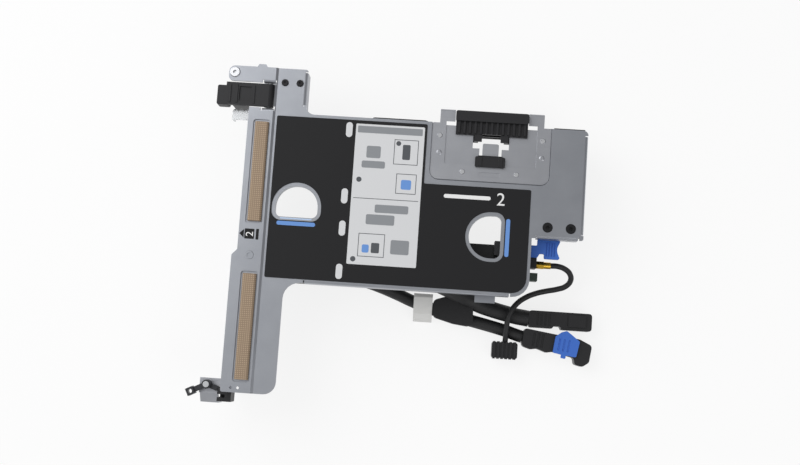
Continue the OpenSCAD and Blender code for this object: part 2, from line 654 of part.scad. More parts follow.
module holder_slide() {
    half = slide_w / 2;
    wall_z = 12;
    rail_z = panel_z + 0.12;
    color("#161618") difference() {
        union() {
            // bar
            translate([0, 0, rail_z]) linear_extrude(38 - rail_z)
                polygon(rounded(rect_corners([holder_x - half, slide_bar[0]], [holder_x + half, slide_bar[1]], 1), 4));
            // plate on the bracket
            block([holder_x - half + 0.3, fin_low, rail_z], [holder_x + half - 0.3, slide_bar[0] + 1, rail_z + slide_t]);
            for (x = [-16.2:2.7:16.3]) block([holder_x + x - 0.5, fin_low + 0.6, rail_z + slide_t - 0.1],
                [holder_x + x + 0.5, slide_bar[0] + 0.5, rail_z + slide_t + 1]);
            // stem with hooks
            block([holder_x - stem_w / 2, stem_low, rail_z], [holder_x + stem_w / 2, fin_low + 1, rail_z + slide_t]);
            for (s = side) {
                x = holder_x + s * (stem_w / 2 - 1);
                block([x - 1, stem_low, panel_z - sheet_t - 2], [x + 1, stem_low + 3, rail_z + 0.5]);
                block([x - 1 + (s > 0 ? 0 : -2), stem_low, panel_z - sheet_t - 2], [x + 1 + (s > 0 ? 2 : 0), stem_low + 3, panel_z - sheet_t - 0.2]);
            }
            // upright wall with the card groove
            block([holder_x - half + 1, slide_bar[0] + 0.4, wall_z], [holder_x + half - 1, slide_bar[1], rail_z + 1]);
            for (z = [13, 17]) block([holder_x - half + 1, slide_bar[0] - 3.6, z], [holder_x + half - 1, slide_bar[0] + 1, z + 2]);
            for (s = side) block([holder_x + s * (half - 2) - 1, slide_bar[0] - 2.4, 18], [holder_x + s * (half - 2) + 1, slide_bar[0] + 1, 33]);
        }
        // notch that clears the sprung tongue
        block([holder_x - tongue_w / 2 - 0.6, stem_low - 1, rail_z - 1], [holder_x + tongue_w / 2 + 0.6, stem_low + 3.6, rail_z + 3]);
        // recesses along the bar's front face
        for (x = [-15:6:15.1]) block([holder_x + x - 1.9, slide_bar[1] - 0.9, 26], [holder_x + x + 1.9, slide_bar[1] + 1, 36.6]);
    }
}

// ---- card guide under the front block ----

module card_guide() {
    x0 = step_x + 3.5;
    x1 = plate_len - bend_out - 0.1;
    y0 = front_low + bend_out + 0.1;
    y1 = plate_wide + 0.6;
    color("#1b1b1d") difference() {
        union() {
            block([x0, y0, plate_under - 2], [x1, y1, plate_under]);
            block([x1 - 1.6, y0, 14], [x1, y1, plate_under]);
            block([x0, y0, 14], [x1, y0 + 1.6, plate_under]);
            block([x0, y1 - 2.2, 12], [x1, y1, plate_under]);
            for (i = [1:5]) let (y = y0 + (y1 - y0) * i / 6) block([x0 + 4, y, 20], [x1 - 1, y + 1.2, plate_under - 1]);
            // groove for the card's front edge
            for (z = [13, 17]) block([x1 - 4.6, y0, z], [x1, y1, z + 2]);
            for (s = front_screws) translate([s[0], s[1], plate_under - 8]) cylinder(h = 8, r = 2.8);
        }
        for (s = front_screws) translate([s[0], s[1], plate_under - 6]) cylinder(h = 8, r = 1.6);
        block([x0 + 4, y1 - 3, 16], [x1 - 6, y1 + 1, 26]);
        // room for the holder's tray
        block([x0 - 1, tray_low - 0.4, tray_z - sheet_t - 0.6], [holder_x + tray_w / 2 + 0.4, y1 + 1, plate_z]);
    }
}

// ---- riser board and its bracket ----

module riser_board() {
    color("#1d4a34") difference() {
        translate([board_x, board_y, board_z]) rotate([90, 0, 0]) linear_extrude(board_t)
            polygon(rounded(rect_corners([0, 0], [board_len, board_h], 1.2), 4));
        for (s = board_screws) translate([s[0], -3, s[1]]) rotate([-90, 0, 0]) cylinder(h = 6, r = 1.4);
    }
}

module board_bracket() {
    y1 = -board_y;
    y0 = y1 - sheet_t;
    low = 8;
    color("silver") difference() {
        union() {
            // upright leg
            translate([board_x + 2, y1, 0]) rotate([90, 0, 0]) linear_extrude(sheet_t)
                polygon(concat([[0, plate_under - bend_out], [0, low]],
                    [for (x = foot_xs) each [[x - board_x - 2, low], [x - board_x - 2, bend_out], [x - board_x - 2 + foot_w, bend_out], [x - board_x - 2 + foot_w, low]]],
                    [[board_len - 8, low], [board_len - 8, plate_under - bend_out]]));
            // top leg under the plate
            translate([board_x + board_len - 6, y1, plate_under]) flange_back(board_len - 8, 8, 9.6);
            for (x = foot_xs) mirror([0, 0, 1]) translate([x + foot_w, y1, 0]) flange_back(foot_w, 4, 8);
        }
        // windows for the cable sockets
        for (k = [0, 1]) block([socket_x[k] - 0.4, y0 - 1, socket_z[k] - socket_h / 2 - 0.6],
            [socket_x[k] + socket_len - 1.6, y1 + 1, socket_z[k] + socket_h / 2 + 0.6]);
        block([54, y0 - 1, 12], [64, y1 + 1, 24]);
        block([94, y0 - 1, 12], [112, y1 + 1, 22]);
        for (s = board_screws) translate([s[0], y0 - 1, s[1]]) rotate([-90, 0, 0]) cylinder(h = 3, r = 1.2);
    }
}

// Flange along -X whose outer face is on y = 0 and that laps towards -Y
module flange_back(l, h, lap) {
    translate([-l, 0, 0]) flange(l, h, lap);
}

module board_screws() {
    color("#b8babd") for (s = board_screws) translate([s[0], board_y, s[1]]) rotate([90, 0, 0]) difference() {
        union() {
            translate([0, 0, -1]) cylinder(h = 1, r1 = 2, r2 = 2.4);
            cylinder(h = board_t, r = 1.4 - fit);
            translate([0, 0, board_t]) cylinder(h = 2.4, r = 1.2 - fit);
        }
        translate([0, 0, -1.4]) linear_extrude(0.9) lobed(1);
    }
}

module card_slot() {
    z0 = slot_z - slot_h / 2;
    y1 = board_y + slot_reach;
    key = slot_x + 14;
    color("#19191b") difference() {
        union() {
            block([slot_x, board_y, z0], [slot_x + slot_len, y1, z0 + slot_h]);
            for (x = [slot_x - 2, slot_x + slot_len]) block([x, board_y, z0 + 1], [x + 2, y1 - 3, z0 + slot_h - 1]);
        }
        for (x = [[slot_x + 1.6, key - 1], [key + 1, slot_x + slot_len - 1.6]])
            block([x[0], y1 - 8.5, slot_z - 0.9], [x[1], y1 + 1, slot_z + 0.9]);
        // contact openings along the mouth
        for (x = [slot_x + 3:4:slot_x + slot_len - 3]) for (s = side)
            if (abs(x + 0.9 - key) > 3) block([x, y1 - 1.2, slot_z + s * 1.7 - 0.9], [x + 1.8, y1 + 1, slot_z + s * 1.7 + 0.9]);
    }
}

module socket(k) {
    y0 = -board_y;
    zc = socket_z[k];
    color("#232326") difference() {
        block([socket_x[k], y0 - socket_out, zc - socket_h / 2], [socket_x[k] + socket_len - 2, y0, zc + socket_h / 2]);
        block([socket_x[k] + 1, y0 - socket_out - 1, zc - 2.4], [socket_x[k] + socket_len - 3, y0 - 1, zc + 2.4]);
    }
}

module rear_socket() { socket(0); }
module front_socket() { socket(1); }

module board_plug(k, d) {
    y1 = -board_y - socket_out;
    zc = socket_z[k];
    x = socket_x[k];
    y0 = -13.2;
    color("#1a1a1c") {
        difference() {
            block([x - 1, y0, zc - socket_h / 2 - 0.5], [x + socket_len, y1, zc + socket_h / 2 + 0.5]);
            for (i = [0:3]) block([x + 2 + i * 3.4, y0 - 1, zc - 4], [x + 3.4 + i * 3.4, y0 + 0.5, zc + 4]);
        }
        block([x + 1.2, y1 - 0.5, zc - 2.2], [x + socket_len - 3.2, y1 + 4, zc + 2.2]);
    }
    // pull bar of the plug's latch
    color("#3e6fcb") block([x + 3, y0 + 1, zc + socket_h / 2 + 0.5], [x + 12, y1 - 1, zc + socket_h / 2 + 1.3]);
}

module rear_board_plug() { board_plug(0, lower_d); }
module front_board_plug() { board_plug(1, upper_d); }

module end_header() {
    y1 = -board_y;
    color("ghostwhite") difference() {
        block([step_x - 7.1, y1 - 4, 12], [step_x + 5.1, y1, 20]);
        block([step_x - 0.5, y1 - 3.2, 13], [step_x + 6, y1 - 0.8, 19]);
    }
}

module board_chips() {
    color("#26272a") {
        for (c = [[board_x + 4, 8, 8, 6], [board_x + 4, 18, 6, 5], [step_x - 31.5, 24, 7, 5], [board_x + 46, 22, 9, 6],
                [board_x + 62, 24, 5, 5]])
            block([c[0], board_y, c[1]], [c[0] + c[2], board_y + 1.4, c[1] + c[3]]);
    }
    color("#8f7a55") for (x = [slot_x + 4:6:slot_x + slot_len - 6]) block([x, board_y, 6], [x + 2, board_y + 0.8, 7.2]);
    color("#8f7a55") for (x = [step_x - 47.5, step_x - 41.5, step_x - 29.5, step_x - 25]) block([x, -board_y - 0.8, 4.4], [x + 2.4, -board_y, 6]);
}

// ---- side connector ----

side_z = [22, 30];

module side_socket() {
    color("#e4e4e0") difference() {
        block([side_plug[0] + 1.4, board_y, side_z[0] + 0.6], [board_x + board_len - 0.4, 6, side_z[1] - 0.6]);
        block([side_plug[0] + 2.6, 2.4, side_z[0] + 1.8], [board_x + board_len - 1.6, 7, side_z[1] - 1.8]);
    }
}

module side_plug() {
    color("#1a1a1c") {
        difference() {
            union() {
                block([side_plug[0], 6, side_z[0]], [side_plug[1], 13, side_z[1]]);
                block([side_plug[1] - 2, 1.4, 13], [side_plug[1] + 3.5, 7.5, 24]);
            }
            for (i = [0:4]) block([side_plug[0] + 2 + i * 2.6, 12.4, side_z[0] + 1], [side_plug[0] + 3 + i * 2.6, 14, side_z[1] - 1]);
            translate([side_plug[1] + 2, 3.6, 15.8]) rotate([0, 90, 0]) cylinder(h = 3, r = 1.2);
        }
        block([side_plug[0] + 3, 3, side_z[0] + 2.2], [side_plug[1] - 5, 6.5, side_z[1] - 2.2]);
    }
}

module pull_tab() {
    x0 = side_plug[1];
    z = 24;
    color("#3e6fcb") difference() {
        translate([0, 0, z]) linear_extrude(2) polygon(rounded([[x0, 6.5, 0], [x0 + 3.6, 6.5, 0.5], [x0 + 4.6, 8.4, 0.6],
            [x0 + 6.8, 8.4, 0.6], [x0 + 6.8, 6, 0.8], [x0 + 14.9, 6, 0.8], [x0 + 12.6, 10.8, 5], [x0 + 14.9, 15.7, 0.8],
            [x0 + 3.2, 15.7, 0.8], [x0 + 3.2, 12.4, 0.6], [x0, 12.4, 0]]));
        for (i = [0:3]) block([x0 + 7.6 + i * 1.3, 7.4, z + 1.5], [x0 + 8.2 + i * 1.3, 14.4, z + 3]);
    }
}

module side_ferrule() {
    x0 = side_plug[1] + 3.5;
    color("goldenrod") translate([x0, 3.6, 15.8]) rotate([0, 90, 0]) {
        translate([0, 0, -1.5]) cylinder(h = 1.5, r = 1.2 - fit);
        cylinder(h = 4.2, r = 2.1, $fn = 6);
        translate([0, 0, 4.2]) cylinder(h = side_route[0][0] - x0 - 4.2, r = 1.7);
    }
}

// ---- cables ----

// Smooth points through a route, k per stretch
function spline(p, k) =
    let (n = len(p))
    concat([for (i = [0:n - 2]) let (a = p[max(i - 1, 0)], b = p[i], c = p[i + 1], d = p[min(i + 2, n - 1)])
        for (j = [0:k - 1]) let (t = j / k)
            0.5 * (2 * b + (c - a) * t + (2 * a - 5 * b + 4 * c - d) * t * t + (3 * b - a - 3 * c + d) * t * t * t)],
        [p[n - 1]]);

// Frames carried along the path without twist: [side, up] at every point
function frames(q, i = 0, u = [0, 0, 1], out = []) =
    i == len(q) ? out :
    let (n = len(q), t = unit(q[min(i + 1, n - 1)] - q[max(i - 1, 0)]), w = unit(u - t * (u * t)))
    frames(q, i + 1, w, concat(out, [[cross(t, w), w]]));

module sweep(route, d, sides, k) {
    q = spline(route, k);
    f = frames(q);
    n = len(q);
    r = d / 2;
    pts = [for (i = [0:n - 1]) for (j = [0:sides - 1]) let (a = 360 * (j + 0.5) / sides)
        q[i] + r * (cos(a) * f[i][0] + sin(a) * f[i][1])];
    faces = concat([[for (j = [0:sides - 1]) j]],
        [for (i = [0:n - 2]) for (j = [0:sides - 1]) let (a = i * sides + j, b = i * sides + (j + 1) % sides)
            [a, a + sides, b + sides, b]],
        [[for (j = [sides - 1:-1:0]) (n - 1) * sides + j]]);
    polyhedron(pts, faces, convexity = 6);
}

module signal_cable_lower() { color("#161617") sweep(lower_route, lower_d, 12, 1); }
module signal_cable_upper() { color("#1b1b1c") sweep(upper_route, upper_d, 12, 1); }
module side_cable() { color("#141415") sweep(side_route, side_d, 8, 2); }

// ---- sleeve, tag and cable ends ----

module cable_sleeve() {
    x = lower_route[8][0];
    color("#202022") linear_extrude(8.8) polygon(rounded([[x - 5.5, -25.6, 2.5], [x - 5.5, -17, 2.5], [x + 2, -14.4, 3],
        [x + 14.6, -14.4, 3], [x + 15.4, -29.6, 3], [x + 5, -28.4, 4]], 5));
}

module cable_tag() {
    color("whitesmoke") translate([lower_route[8][0] - 15.5, 0, 0]) rotate([90, 0, 90]) linear_extrude(9.6)
        polygon([[-14.9, 5.4], [-14.2, 5.6], [-14.2, 9.2], [-16, 9.9], [-20, 8.9], [-24.4, 7.4], [-27.4, 4.6], [-28.4, 0.2],
            [-27.9, 0.2], [-27, 4.3], [-24.2, 6.95], [-20, 8.4], [-16, 9.4], [-14.9, 8.8]]);
}

module upper_plug_body() {
    x = upper_plug[0];
    y = upper_plug[1];
    h = plug_w / 2;
    difference() {
        union() {
            translate([0, 0, 0.2]) linear_extrude(plug_h)
                polygon(rounded([[x, y - h, 1.5], [x + 12, y - h, 0.5], [x + 12.8, y - h + 1.2, 0.5], [x + 16, y - h + 1.2, 0.5],
                    [x + 16.8, y - h - 0.4, 0.5], [x + upper_plug_len, y - h - 0.4, 1.5], [x + upper_plug_len, y + h, 1.5], [x, y + h, 1.5]], 4));
            block([x + 20, y - 3, 8.1], [x + 29, y + 3, 9]);
        }
        block([x + upper_plug_len - 4, y - 3.2, 2], [x + upper_plug_len + 1, y + 3, 6.4]);
        for (i = [0:3]) block([x + 4 + i * 2, y - 3, 7.8], [x + 5 + i * 2, y + 3, 9]);
    }
}

module upper_plug() { color("#1c1c1e") upper_plug_body(); }

module lower_plug() {
    color("#1c1c1e") translate([lower_plug[0], lower_plug[1], 0]) rotate(lower_turn) difference() {
        union() {
            translate([0, 0, 0.2]) linear_extrude(8.4) polygon(rounded([[0, -4.6, 2], [5, -5.4, 1.2], [8, -4.4, 1], [13, -5.4, 1.2],
                [16, -4.4, 1], [27, -5.2, 1.5], [28, -8.4, 1.5], [32, -8.8, 2], [lower_plug_len, -6, 2], [lower_plug_len, 2.6, 2],
                [28.4, 4.6, 1.5], [0, 4.6, 1.5]], 4));
        }
        block([lower_plug_len - 4.4, -3.8, 2.4], [lower_plug_len + 1, 2, 6.6]);
        for (i = [0:2]) block([5 + i * 2.2, -3.4, 8.1], [6.2 + i * 2.2, 3.4, 9]);
    }
}

module plug_clip() {
    color("#3e6fcb") translate([lower_plug[0], lower_plug[1], 0]) rotate(lower_turn) difference() {
        translate([0, 0, 8.6]) linear_extrude(1.6) polygon(rounded([[16, -4.8, 0.8], [20.4, -4.8, 0.4], [20.4, -6.6, 0.4],
            [22.8, -6.6, 0.4], [22.8, -4.8, 0.4], [28, -4.8, 0.8], [28.4, 3.4, 1], [23.4, 6.2, 1], [21, 7.4, 0.8],
            [18.6, 6.2, 0.8], [16, 3.6, 0.8]], 4));
        for (i = [0:2]) block([18 + i * 2.4, -3, 9.8], [19 + i * 2.4, 3, 11]);
    }
}

module ribbed_plug() {
    x = ribbed[0];
    y = ribbed[1];
    color("#19191b") {
        rounded_slab([x, y - 6.4], [x + 13, y + 1.6], 1, 0.2, 7.6);
        for (i = [0:5]) block([x + 0.6 + i * 2.1, y - 6.9, 0.2], [x + 1.7 + i * 2.1, y + 2, 8.3]);
    }
}

top_plate();
rear_panel_upper();
rear_panel_lower();
gasket_upper();
gasket_lower();
panel_label();
insulating_film();
corner_rivet();
block_screws();
latch_base();
tab_ledge();
upper_latch();
upper_latch_pin();
lower_ledge();
lower_latch();
lower_latch_pin();
tab_block();
holder_bracket();
holder_slide();
holder_stop();
holder_rivets();
card_guide();
front_screws();
riser_board();
board_bracket();
board_screws();
card_slot();
rear_socket();
front_socket();
end_header();
board_chips();
side_socket();
side_plug();
pull_tab();
side_ferrule();
rear_board_plug();
front_board_plug();
signal_cable_lower();
signal_cable_upper();
side_cable();
cable_sleeve();
cable_tag();
upper_plug();
lower_plug();
plug_clip();
ribbed_plug();
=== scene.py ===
import math
import bmesh
import bpy
from mathutils import Matrix, Vector


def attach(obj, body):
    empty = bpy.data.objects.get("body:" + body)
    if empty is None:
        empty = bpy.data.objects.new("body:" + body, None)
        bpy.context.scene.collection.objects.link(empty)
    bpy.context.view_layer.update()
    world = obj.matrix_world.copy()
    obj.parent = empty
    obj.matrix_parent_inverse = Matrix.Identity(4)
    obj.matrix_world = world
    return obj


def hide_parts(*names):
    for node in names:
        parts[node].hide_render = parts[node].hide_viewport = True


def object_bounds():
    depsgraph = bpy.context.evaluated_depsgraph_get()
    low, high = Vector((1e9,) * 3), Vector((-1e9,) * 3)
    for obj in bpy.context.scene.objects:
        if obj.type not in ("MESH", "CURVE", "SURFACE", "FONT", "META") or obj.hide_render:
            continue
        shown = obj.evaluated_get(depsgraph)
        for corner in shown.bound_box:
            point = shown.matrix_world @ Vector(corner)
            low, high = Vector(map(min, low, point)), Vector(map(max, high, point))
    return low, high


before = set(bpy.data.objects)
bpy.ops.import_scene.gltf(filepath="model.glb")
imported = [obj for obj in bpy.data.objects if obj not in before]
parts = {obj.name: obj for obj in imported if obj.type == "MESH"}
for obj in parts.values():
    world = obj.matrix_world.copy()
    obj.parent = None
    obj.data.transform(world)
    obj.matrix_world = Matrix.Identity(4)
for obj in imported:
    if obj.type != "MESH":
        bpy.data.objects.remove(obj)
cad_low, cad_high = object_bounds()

# ---- The studio table ----
# The cage lies on a plain white table, seen from straight above and a little to the cable side. The table is matt
# laminate, wide enough to fill every view, and shows as plain white with the cage's soft shadow on it.
MM = 0.001


def hex_colour(text):
    parts = [int(text[i:i + 2], 16) / 255 for i in (1, 3, 5)]
    return [c / 12.92 if c <= 0.04045 else ((c + 0.055) / 1.055) ** 2.4 for c in parts] + [1.0]


def add_node(tree, kind, inputs=None, **settings):
    node = tree.nodes.new(kind)
    for name, value in settings.items():
        setattr(node, name, value)
    for socket, value in (inputs or {}).items():
        if isinstance(value, bpy.types.NodeSocket):
            tree.links.new(value, node.inputs[socket])
        else:
            node.inputs[socket].default_value = value
    return node


def start_material(name, colour, roughness, metallic=0.0):
    material = bpy.data.materials.new(name)
    material.use_nodes = True
    tree = material.node_tree
    shader = tree.nodes["Principled BSDF"]
    shader.inputs["Base Color"].default_value = hex_colour(colour)
    shader.inputs["Roughness"].default_value = roughness
    shader.inputs["Metallic"].default_value = metallic
    return material, tree, shader


# Laminate: an even matt white. The camera sees it nearly at full white and it keeps the shadow.
table_laminate, tree, shader = start_material("white_laminate", "#f4f4f4", 0.8)
rays = add_node(tree, "ShaderNodeLightPath")
camera_or_glossy = add_node(tree, "ShaderNodeMath", {0: rays.outputs["Is Camera Ray"],
                                                     1: rays.outputs["Is Glossy Ray"]}, operation="MAXIMUM")
seen = add_node(tree, "ShaderNodeMath", {0: camera_or_glossy.outputs[0], 1: rays.outputs["Is Transmission Ray"]},
                operation="MAXIMUM")
share = add_node(tree, "ShaderNodeMath", {0: seen.outputs[0], 1: 0.82}, operation="MULTIPLY")
white = add_node(tree, "ShaderNodeEmission", {"Color": (1, 1, 1, 1), "Strength": 1.0})
mixed = add_node(tree, "ShaderNodeMixShader", {0: share.outputs[0], 1: shader.outputs[0], 2: white.outputs[0]})
tree.links.new(mixed.outputs[0], tree.nodes["Material Output"].inputs["Surface"])

sheet = bmesh.new()
bmesh.ops.create_grid(sheet, x_segments=1, y_segments=1, size=6.0)
bmesh.ops.translate(sheet, verts=sheet.verts, vec=(0, 0, -0.0002))
mesh = bpy.data.meshes.new("table")
sheet.to_mesh(mesh)
sheet.free()
table = bpy.data.objects.new("table", mesh)
mesh.materials.append(table_laminate)
bpy.context.scene.collection.objects.link(table)

# ---- Camera and light ----
# A 50 mm lens about half a metre over the plate, rolled a little and tipped towards the cables. One wide soft box
# stands on the rear side, a smaller one opposite, and a pale room fills the shadows.
camera = bpy.data.objects.new("camera", bpy.data.cameras.new("camera"))
camera.data.lens = 50
camera.data.sensor_width = 36
camera.data.clip_start = 0.01
turn = (Matrix.Rotation(math.radians(3.887), 4, "Z") @ Matrix.Rotation(math.radians(1.930), 4, "Y")
        @ Matrix.Rotation(math.radians(6.285), 4, "X"))
camera.matrix_world = Matrix.Translation((0.1014, -0.0447, 0.5764)) @ turn
bpy.context.scene.collection.objects.link(camera)
bpy.context.scene.camera = camera

middle = (cad_low + cad_high) / 2
for name, way, distance, size, watts in [("rear_soft_box", (-0.9, 0.55, 1.0), 0.95, 0.8, 4.6),
                                         ("front_soft_box", (0.8, -0.7, 0.9), 1.0, 0.6, 2.0)]:
    lamp = bpy.data.objects.new(name, bpy.data.lights.new(name, "AREA"))
    lamp.data.shape = "SQUARE"
    lamp.data.size = size
    lamp.data.energy = watts
    aim = Vector(way).normalized()
    lamp.matrix_world = Matrix.Translation(middle + aim * distance) @ aim.to_track_quat("Z", "Y").to_matrix().to_4x4()
    bpy.context.scene.collection.objects.link(lamp)

room = bpy.data.worlds.new("room")
room.use_nodes = True
tree = room.node_tree
background = tree.nodes["Background"]
rays = add_node(tree, "ShaderNodeLightPath")
direction = add_node(tree, "ShaderNodeTexCoord")
toward = add_node(tree, "ShaderNodeSeparateXYZ", {0: direction.outputs["Generated"]})
fade = add_node(tree, "ShaderNodeMapRange", {"Value": toward.outputs["X"], "From Min": -0.3, "From Max": 0.3,
                                             "To Min": 0.74, "To Max": 0.32})
lit = add_node(tree, "ShaderNodeMix", {0: rays.outputs["Is Camera Ray"], 2: fade.outputs[0], 3: 1.0}, data_type="FLOAT")
tree.links.new(lit.outputs[0], background.inputs["Strength"])
background.inputs["Color"].default_value = (1, 1, 1, 1)
bpy.context.scene.world = room
bpy.context.scene.view_settings.view_transform = "Standard"

# ---- Folded sheet: the cage, its panels and brackets ----
# Zinc-plated steel sheet, cut, stamped and folded. The plating is satin, with a fine rolled grain along the cage's
# length and faint cloudy patches, and every cut edge is broken by a tenth of a millimetre.
def plated_sheet(name, colour, roughness, cloud):
    material, tree, shader = start_material(name, colour, roughness, 0.85)
    place = add_node(tree, "ShaderNodeTexCoord")
    # rolled grain: streaks 0.5 mm wide and 12 mm long, drawn wider than the real ones so that they show
    along = add_node(tree, "ShaderNodeMapping", {"Vector": place.outputs["Object"],
                                                 "Scale": (1 / (12 * MM), 1 / (0.5 * MM), 1 / (0.5 * MM))})
    grain = add_node(tree, "ShaderNodeTexNoise", {"Vector": along.outputs[0], "Scale": 1.0, "Detail": 2.0})
    # plating cloud: patches about 14 mm across
    patch = add_node(tree, "ShaderNodeTexNoise", {"Vector": place.outputs["Object"], "Scale": 1 / (14 * MM),
                                                  "Detail": 3.0})
    tone = add_node(tree, "ShaderNodeMix", {0: patch.outputs[0], 6: hex_colour(colour), 7: hex_colour(cloud)},
                    data_type="RGBA")
    tree.links.new(tone.outputs[2], shader.inputs["Base Color"])
    rough = add_node(tree, "ShaderNodeMapRange", {"Value": grain.outputs[0], "To Min": roughness - 0.07,
                                                  "To Max": roughness + 0.07})
    tree.links.new(rough.outputs[0], shader.inputs["Roughness"])
    relief = add_node(tree, "ShaderNodeBump", {"Height": grain.outputs[0], "Strength": 0.12, "Distance": 0.00005})
    tree.links.new(relief.outputs[0], shader.inputs["Normal"])
    return material


WELD_GAP = 0.005 * MM
SHARP_EDGE = math.radians(40)


# Gives each named piece its finish, and breaks its sharp edges by so many millimetres.
def dress(names, material, edge=0.0):
    for name in names:
        part = parts[name]
        for slot in part.material_slots:
            slot.material = material
        if edge:
            weld = part.modifiers.new("weld", "WELD")
            weld.merge_threshold = WELD_GAP
            soft = part.modifiers.new("broken_edge", "BEVEL")
            soft.width = edge * MM
            soft.segments = 2
            soft.limit_method = "ANGLE"
            soft.angle_limit = SHARP_EDGE


zinc_sheet = plated_sheet("zinc_plated_sheet", "#a9acb2", 0.36, "#989ba2")
stamped_sheet = plated_sheet("stamped_zinc_sheet", "#b3b5ba", 0.38, "#a2a4aa")
bright_spring = plated_sheet("bright_plated_spring_sheet", "#d6d8da", 0.24, "#c4c6c9")
dress(["top_plate", "rear_panel_upper", "rear_panel_lower"], zinc_sheet, 0.12)
dress(["holder_bracket", "board_bracket", "lower_ledge", "latch_base"], stamped_sheet, 0.12)
dress(["tab_ledge", "upper_latch_pin", "lower_latch_pin"], bright_spring, 0.1)

# ---- Rivets and screws ----
# A bright flared rivet in the latch corner, bright rivets in the holder, bright screws on the board, and black
# oxide screws in the block and at the front.
bright_rivet = plated_sheet("bright_rivet", "#dcdde0", 0.22, "#c8cace")
black_screw, tree, shader = start_material("black_oxide_screw", "#17171a", 0.38, 0.35)
dress(["corner_rivet", "holder_rivets", "board_screws"], bright_rivet, 0.06)
dress(["block_screws", "front_screws"], black_screw, 0.06)

# ---- Gaskets ----
# Conductive cloth wrapped round foam: a warm brown plain weave, with paler thread crossings. It is laid in the
# trays of the raised strip.
gasket_cloth, tree, shader = start_material("woven_conductive_cloth", "#9a8268", 0.62, 0.2)
place = add_node(tree, "ShaderNodeTexCoord")
# thread spacing 0.5 mm, drawn coarser than the real 0.2 mm so that the weave shows
THREAD = 0.5 * MM
threads = [add_node(tree, "ShaderNodeTexWave", {"Vector": place.outputs["Object"], "Scale": 1 / THREAD / 6.28,
                                                "Distortion": 0.6}, bands_direction=way) for way in ("X", "Y")]
weave = add_node(tree, "ShaderNodeMath", {0: threads[0].outputs[1], 1: threads[1].outputs[1]}, operation="MULTIPLY")
cloth_tone = add_node(tree, "ShaderNodeMix", {0: weave.outputs[0], 6: hex_colour("#8e7a65"), 7: hex_colour("#bda78e")},
                      data_type="RGBA")
tree.links.new(cloth_tone.outputs[2], shader.inputs["Base Color"])
relief = add_node(tree, "ShaderNodeBump", {"Height": weave.outputs[0], "Strength": 0.3, "Distance": 0.0001})
tree.links.new(relief.outputs[0], shader.inputs["Normal"])
dress(["gasket_upper", "gasket_lower"], gasket_cloth, 0.3)

# ---- Label and film ----
# Polyester film, near black and matt, stuck on the plate, and the insulating film under the plate, in the same
# finish. The film's fine emboss breaks up its sheen.
def printed_film(name, colour, roughness=0.55):
    material, tree, shader = start_material(name, colour, roughness)
    shader.inputs["Specular IOR Level"].default_value = 0.25
    place = add_node(tree, "ShaderNodeTexCoord")
    # emboss of the film: 0.4 mm grains
    grain = add_node(tree, "ShaderNodeTexNoise", {"Vector": place.outputs["Object"], "Scale": 1 / (0.4 * MM),
                                                  "Detail": 1.0})
    relief = add_node(tree, "ShaderNodeBump", {"Height": grain.outputs[0], "Strength": 0.08, "Distance": 0.00005})
    tree.links.new(relief.outputs[0], shader.inputs["Normal"])
    return material


label_black = printed_film("black_printed_film", "#1b1b1d")
dress(["panel_label", "insulating_film"], label_black)

# heights in millimetres of the surfaces that carry print, and the ink's thickness
PLATE_TOP, LABEL_TOP, STRIP_TOP = 36.0, 36.25, 36.8
INK = 0.04
CAP_SHARE = 0.7           # a numeral's height over its font size
# the pale blue ink serves only the painted highlight beside the rear finger hole
INKS = {name: printed_film(name + "_ink", colour) for name, colour in
        [("pale_grey", "#d6d7d9"), ("mid_grey", "#8d9094"), ("line_grey", "#55585c"), ("touch_blue", "#6b96d6"),
         ("pale_blue_painted_highlight", "#b9cdea"), ("white", "#ececec"), ("black", "#161617")]}


def stick(name, mesh):
    piece = bpy.data.objects.new(name, mesh)
    bpy.context.scene.collection.objects.link(piece)
    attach(piece, "cage")


# Gives a flat shape the ink's thickness and lays it at the height `bottom`, in millimetres.
def finish_print(name, flat, ink, bottom):
    bmesh.ops.translate(flat, verts=flat.verts, vec=(0, 0, bottom * MM))
    grown = bmesh.ops.extrude_face_region(flat, geom=flat.faces[:])
    bmesh.ops.translate(flat, verts=[v for v in grown["geom"] if isinstance(v, bmesh.types.BMVert)],
                        vec=(0, 0, INK * MM))
    bmesh.ops.recalc_face_normals(flat, faces=flat.faces)
    mesh = bpy.data.meshes.new(name)
    flat.to_mesh(mesh)
    flat.free()
    mesh.materials.append(INKS[ink])
    stick(name, mesh)


def add_plate(flat, box, corner=0.0):
    x0, y0, x1, y1 = [v * MM for v in box]
    made = bmesh.ops.create_grid(flat, x_segments=1, y_segments=1, size=0.5)
    for vert in made["verts"]:
        vert.co = Vector((x0 if vert.co.x < 0 else x1, y0 if vert.co.y < 0 else y1, 0))
    if corner:
        bmesh.ops.bevel(flat, geom=made["verts"], offset=corner * MM, affect="VERTICES", segments=5, profile=0.5,
                        material=-1)


def print_plates(name, ink, boxes, corner=0.0, bottom=LABEL_TOP):
    flat = bmesh.new()
    for box in boxes:
        add_plate(flat, box, corner)
    finish_print(name, flat, ink, bottom)


def print_discs(name, ink, discs, bottom=LABEL_TOP):
    flat = bmesh.new()
    for x, y, r in discs:
        made = bmesh.ops.create_circle(flat, cap_ends=True, segments=32, radius=r * MM)
        bmesh.ops.translate(flat, verts=made["verts"], vec=(x * MM, y * MM, 0))
    finish_print(name, flat, ink, bottom)


